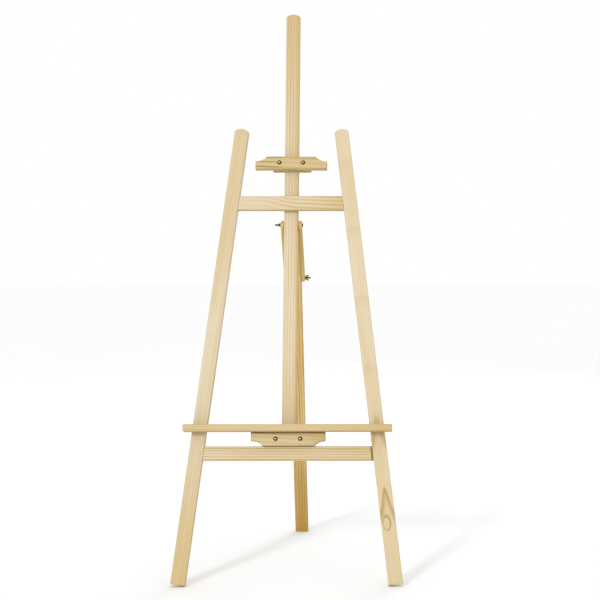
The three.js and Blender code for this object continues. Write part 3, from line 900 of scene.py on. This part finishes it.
def wing_nut_mesh():
    """A cast wing nut on +Z with its wings towards +X and -X."""
    soft = 0.4
    hub = [(0.0, NUT_BASE), (soft, NUT_BASE), (NUT_HEIGHT - soft, NUT_TOP), (NUT_HEIGHT, NUT_TOP - soft)]
    bm = loft(hub, 40)
    reach = WING_SPAN / 2
    root = (WING_ROOT, 0.8)
    elbow = (reach, WING_RISE - 4.4)
    tip = (reach - 4.6, WING_RISE - 1.6)
    outline = [Vector(root)]
    outline += bezier([root, (reach - 3, 1.6), elbow], 8)
    outline += bezier([elbow, (reach + 0.4, WING_RISE - 0.8), (reach - 2.6, WING_RISE + 0.6), tip], 10)
    outline += bezier([tip, (reach - 6.2, NUT_HEIGHT - 0.4), (WING_ROOT, NUT_HEIGHT - 0.6)], 8)
    for side in (1, -1):
        walls = []
        for face in (-1, 1):
            wall = []
            for p in outline:
                thickness = WING_THICKNESS * (1 - 0.25 * (p.x - WING_ROOT) / (reach - WING_ROOT))
                wall.append(bm.verts.new((side * p.x, face * thickness / 2, p.y)))
            walls.append(wall)
        bm.faces.new(walls[0])
        bm.faces.new(list(reversed(walls[1])))
        for i in range(len(outline)):
            j = (i + 1) % len(outline)
            bm.faces.new((walls[0][i], walls[1][i], walls[1][j], walls[0][j]))
    cast = evaluated(
        bm,
        "wing_nut_blank",
        [
            ("REMESH", {"mode": "VOXEL", "voxel_size": 0.3}),
            ("SMOOTH", {"iterations": 5, "factor": 0.6}),
        ],
    )
    body = bpy.data.meshes.new("wing_nut_cast")
    cast.to_mesh(body)
    cast.free()
    bore = loft([(-2, WASHER_INNER), (NUT_HEIGHT + 2, WASHER_INNER)], 40)
    bore_mesh = bpy.data.meshes.new("bore")
    bmesh.ops.recalc_face_normals(bore, faces=bore.faces)
    bore.to_mesh(bore_mesh)
    bore.free()
    tool = bpy.data.objects.new("bore", bore_mesh)
    bpy.context.scene.collection.objects.link(tool)
    blank = bmesh.new()
    blank.from_mesh(body)
    nut = evaluated(
        blank,
        "wing_nut_bored",
        [
            ("BOOLEAN", {"operation": "DIFFERENCE", "object": tool, "solver": "EXACT"}),
            ("DECIMATE", {"ratio": 0.45}),
        ],
    )
    bpy.data.objects.remove(tool)
    bmesh.ops.remove_doubles(nut, verts=nut.verts, dist=0.02)
    mesh = as_mesh(nut, "wing_nut", 50)
    mesh.materials.append(BRONZE)
    return mesh


def screw_mesh(name, length):
    """A countersunk cross-recess wood screw along -Z with its flat head's top at z = 0."""
    tip = 5.0
    sections = [(-length, 0.08), (-length + tip * 0.5, SCREW_CORE * 0.6)]
    threaded(sections, -length + tip, -SCREW_HEAD_DEPTH - 7, SCREW_RADIUS, SCREW_CORE, SCREW_PITCH)
    sections.append((-SCREW_HEAD_DEPTH, SCREW_RADIUS - 0.3))
    sections.append((-0.5, SCREW_HEAD - 0.25))
    sections.append((-0.2, SCREW_HEAD))
    sections.append((0.0, SCREW_HEAD))
    sections.append((0.15, SCREW_HEAD - 0.15))
    bm = loft(sections, 32)
    cross = bmesh.new()
    levels = ((-2.0, 0.7, 0.3), (0.6, 2.4, 0.55))  # each height, half length and half width
    for slot in range(2):
        rings = []
        for height, half, wide in levels:
            corners = ((-half, -wide), (half, -wide), (half, wide), (-half, wide))
            ring = []
            for a, b in corners:
                ring.append(cross.verts.new((a, b, height) if slot == 0 else (-b, a, height)))
            rings.append(ring)
        low, high = rings
        cross.faces.new(list(reversed(low)))
        cross.faces.new(high)
        for i in range(4):
            j = (i + 1) % 4
            cross.faces.new((low[i], low[j], high[j], high[i]))
    cross_mesh = bpy.data.meshes.new("recess")
    bmesh.ops.recalc_face_normals(cross, faces=cross.faces)
    cross.to_mesh(cross_mesh)
    cross.free()
    tool = bpy.data.objects.new("recess", cross_mesh)
    bpy.context.scene.collection.objects.link(tool)
    cut = evaluated(
        bm,
        name + "_blank",
        [("BOOLEAN", {"operation": "DIFFERENCE", "object": tool, "solver": "EXACT", "use_self": True})],
    )
    bpy.data.objects.remove(tool)
    mesh = as_mesh(cut, name, 30)
    mesh.materials.append(ZINC)
    return mesh


def make_fasteners():
    """Bolts, washers and wing nuts, placed from the joints that the wing nuts turn on."""
    washer = washer_mesh()
    wing_nut = wing_nut_mesh()
    bolts = {}
    for joint in frame["joints"]:
        if not joint.get("continuous"):
            continue
        nut_node = bodies[joint["child"]][0]
        stem = nut_node[: -len("_wing_nut")]
        axis = Vector(joint["axis"]).normalized()
        centre = Vector(joint["pos_m"])

        def off_axis(point):
            arm = point - centre
            return arm - axis * arm.dot(axis)

        wing_tip = max((off_axis(v.co) for v in nodes[nut_node].data.vertices), key=lambda arm: arm.length)
        turn = axes(axis, wing_tip)
        low, high = spread(nut_node, turn)
        stand_for(nut_node, wing_nut, seated(nut_node, turn, low.z))

        turn = axes(axis, X if abs(axis.x) < 0.5 else UP)
        low, high = spread(stem + "_washer", turn)
        stand_for(stem + "_washer", washer, seated(stem + "_washer", turn, low.z))
        low, high = spread(stem + "_bolt", turn)
        head_top = SEAT_GAP + HEAD_HEIGHT
        length = round((high.z - low.z) / MM - head_top, 1)
        if length not in bolts:
            bolts[length] = bolt_mesh(f"bolt_{length:g}", length)
        stand_for(stem + "_bolt", bolts[length], seated(stem + "_bolt", turn, low.z + head_top * MM))


def make_screws():
    """The four screws behind the mast point forwards; the two in the tray rail point down."""
    made = {}
    for node_name in sorted(nodes):
        if not node_name.endswith("_screw"):
            continue
        out = UP if node_name.startswith("tray") else BACK
        turn = axes(out, X + UP + BACK * 0.3 if node_name.endswith("left_screw") else X)
        low, high = spread(node_name, turn)
        head = 0.2
        length = round((high.z - low.z) / MM - head, 1)
        if length not in made:
            made[length] = screw_mesh(f"screw_{length:g}", length)
        stand_for(node_name, made[length], seated(node_name, turn, high.z - head * MM))


def set_view():
    bpy.context.scene.view_settings.view_transform = "Standard"


make_camera()
make_lights()
make_floor()
set_view()
make_timber()
make_fasteners()
make_screws()
